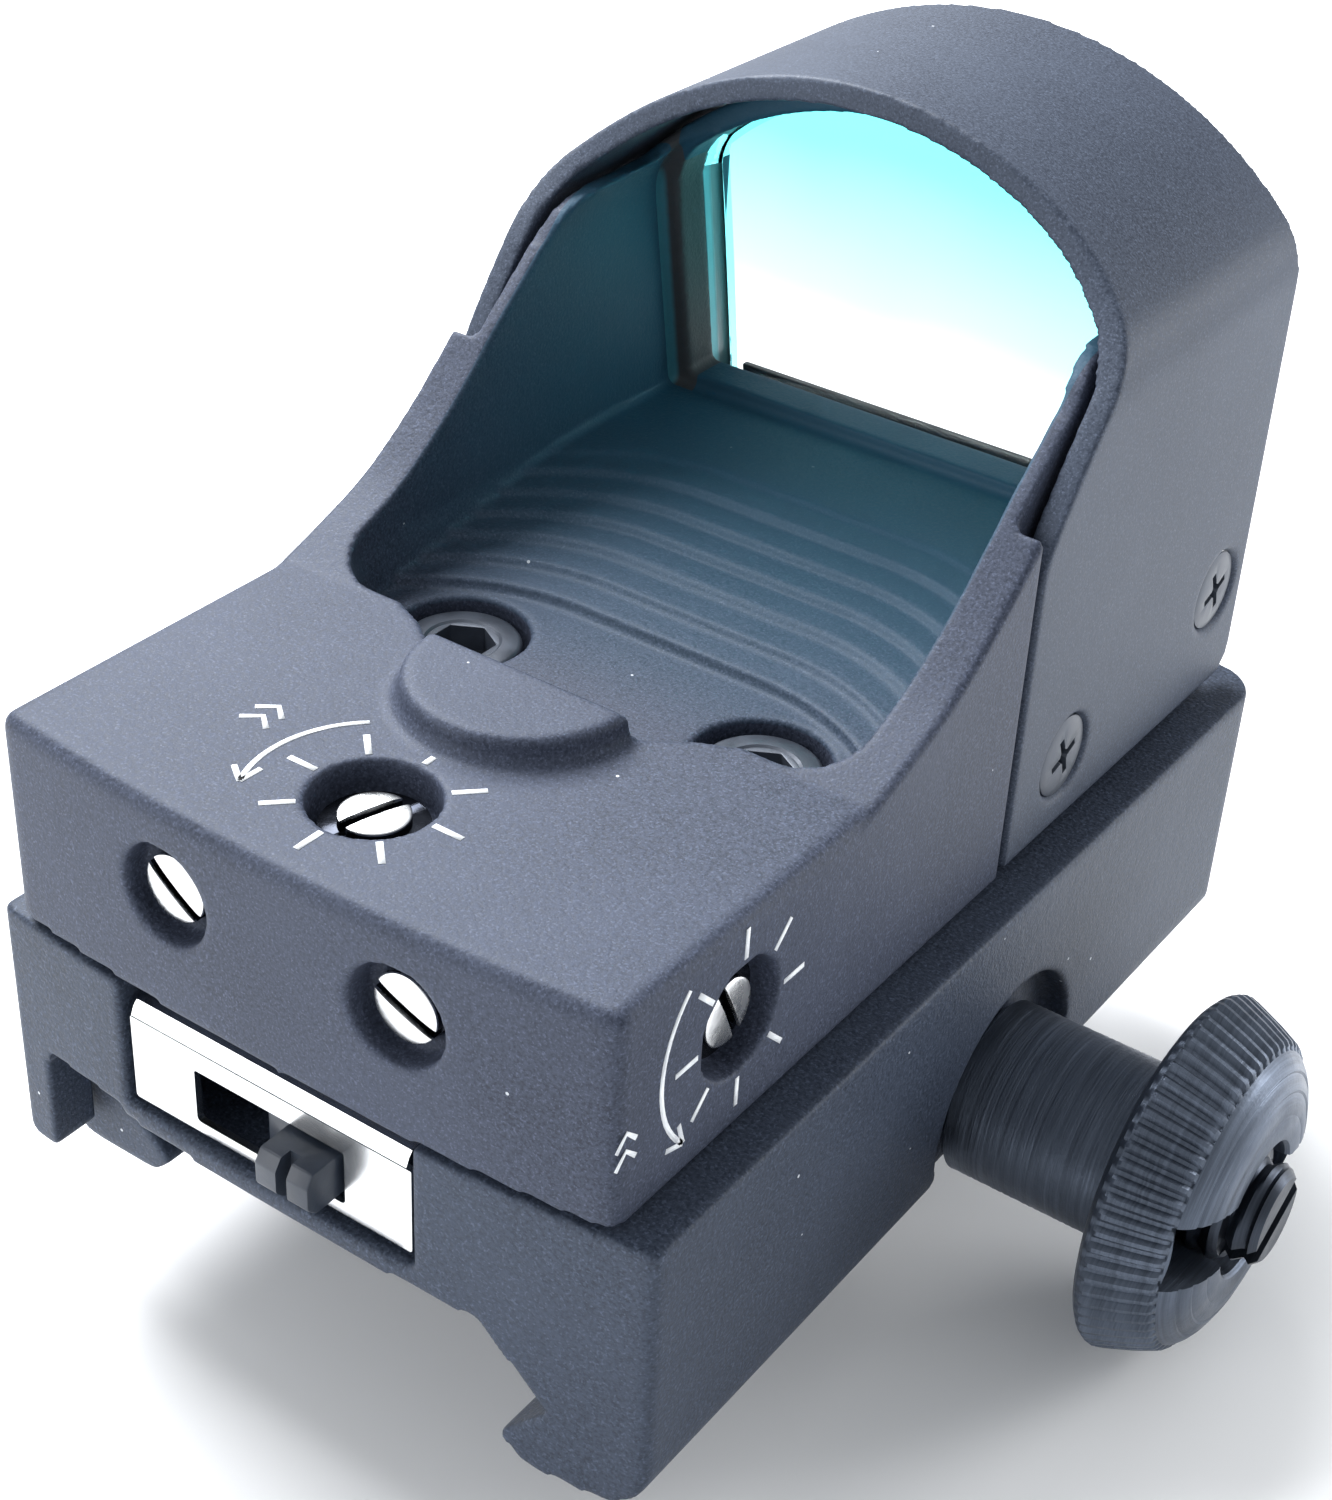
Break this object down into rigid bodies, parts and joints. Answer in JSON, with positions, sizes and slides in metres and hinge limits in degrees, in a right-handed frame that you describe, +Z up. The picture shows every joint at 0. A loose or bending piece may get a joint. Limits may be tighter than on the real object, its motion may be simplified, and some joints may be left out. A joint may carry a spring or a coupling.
{
  "type": "red dot finder",
  "caption": "Open reflex red dot finder: black alloy housing with an arched shield over a tinted lens, screw adjusters, slide switch and rail clamp with a knurled thumb nut.",
  "frame": {"origin": "middle of the flat roof of the rail slot, which rests on the top of the rail", "axes": "+Y the aiming direction, towards the lens; +Z up; +X right, the side of the thumb nut"},
  "size_m": [0.0395, 0.0448, 0.0407],
  "materials": {
    "cast_alloy": "fine sand-blasted black anodised casting",
    "shield_alloy": "fine sand-blasted black anodised sheet",
    "base_alloy": "fine sand-blasted black anodised extrusion",
    "black_steel": "blackened steel",
    "nut_steel": "blackened steel with turning lines and a straight knurl",
    "nickel": "bright nickel plate",
    "battery_steel": "satin nickel-plated steel",
    "coated_glass": "cyan dichroic coating that reflects red",
    "clear_glass": "clear",
    "rubber": "matte black",
    "black_plastic": "moulded black",
    "circuit_board": "green solder mask",
    "red_emitter": "red emitter",
    "brass": "plain",
    "spring_steel": "bright wire"
  },
  "bodies": {
    "sight": {"base": "base_alloy", "base_seal": "rubber", "housing": "cast_alloy", "shield": "shield_alloy", "shield_screw_right_rear": "black_steel", "shield_screw_right_front": "black_steel", "shield_screw_left_rear": "black_steel", "shield_screw_left_front": "black_steel", "lens": "coated_glass", "lens_seal": "rubber", "mount_screw_left": "black_steel", "mount_screw_right": "black_steel", "emitter_window": "clear_glass", "circuit_board": "circuit_board", "driver_chip": "black_plastic", "battery": "battery_steel", "contact_positive": "brass", "contact_negative": "brass", "switch_shell": "nickel", "switch_body": "black_plastic", "switch_terminal_a": "brass", "switch_terminal_b": "brass", "switch_terminal_c": "brass", "windage_spring": "spring_steel"},
    "elevation_dial": {"elevation_screw": "nickel"},
    "windage_dial": {"windage_screw": "nickel"},
    "windage_carriage": {"windage_block": "brass", "elevation_spring": "spring_steel"},
    "emitter_carriage": {"elevation_arm": "brass", "led_board": "circuit_board", "led_emitter": "red_emitter"},
    "left_lock": {"lock_screw_left": "nickel"},
    "right_lock": {"lock_screw_right": "nickel"},
    "power_switch": {"switch_slider": "black_plastic"},
    "clamp": {"clamp_jaw": "base_alloy", "clamp_bolt": "black_steel"},
    "clamp_nut": {"thumb_nut": "nut_steel"}
  },
  "joints": [
    {"name": "thumb_nut_turn", "type": "hinge", "parent": "sight", "child": "clamp_nut", "pos_m": [0.017, 0.0015, -0.00295], "axis": [1, 0, 0], "range_deg": [0, 864]},
    {"name": "clamp_slide", "type": "slide", "parent": "sight", "child": "clamp", "axis": [-1, 0, 0], "range_m": [0, 0.00192]},
    {"name": "switch_slide", "type": "slide", "parent": "sight", "child": "power_switch", "axis": [1, 0, 0], "range_m": [-0.0036, 0]},
    {"name": "elevation_turn", "type": "hinge", "parent": "sight", "child": "elevation_dial", "pos_m": [0, -0.01765, 0.013], "axis": [0, 0, 1], "range_deg": [-360, 360]},
    {"name": "windage_turn", "type": "hinge", "parent": "sight", "child": "windage_dial", "pos_m": [0.011, -0.0153, 0.0105], "axis": [1, 0, 0], "range_deg": [-360, 360]},
    {"name": "windage_slide", "type": "slide", "parent": "sight", "child": "windage_carriage", "axis": [1, 0, 0], "range_m": [-0.0005, 0.0005], "deforming": ["windage_spring"]},
    {"name": "elevation_slide", "type": "slide", "parent": "windage_carriage", "child": "emitter_carriage", "axis": [0, 0, 1], "range_m": [-0.0005, 0.0005], "deforming": ["elevation_spring"]},
    {"name": "lock_left_turn", "type": "hinge", "parent": "sight", "child": "left_lock", "pos_m": [-0.00482, -0.019, 0.011], "axis": [0, 1, 0], "range_deg": [-180, 180]},
    {"name": "lock_right_turn", "type": "hinge", "parent": "sight", "child": "right_lock", "pos_m": [0.00482, -0.019, 0.011], "axis": [0, 1, 0], "range_deg": [-180, 180]}
  ],
  "couplings": [
    {"joint": "thumb_nut_turn", "follows": "clamp_slide", "rad_per_m": 7853.9},
    {"joint": "windage_turn", "follows": "windage_slide", "rad_per_m": 12566},
    {"joint": "elevation_turn", "follows": "elevation_slide", "rad_per_m": 12566}
  ]
}
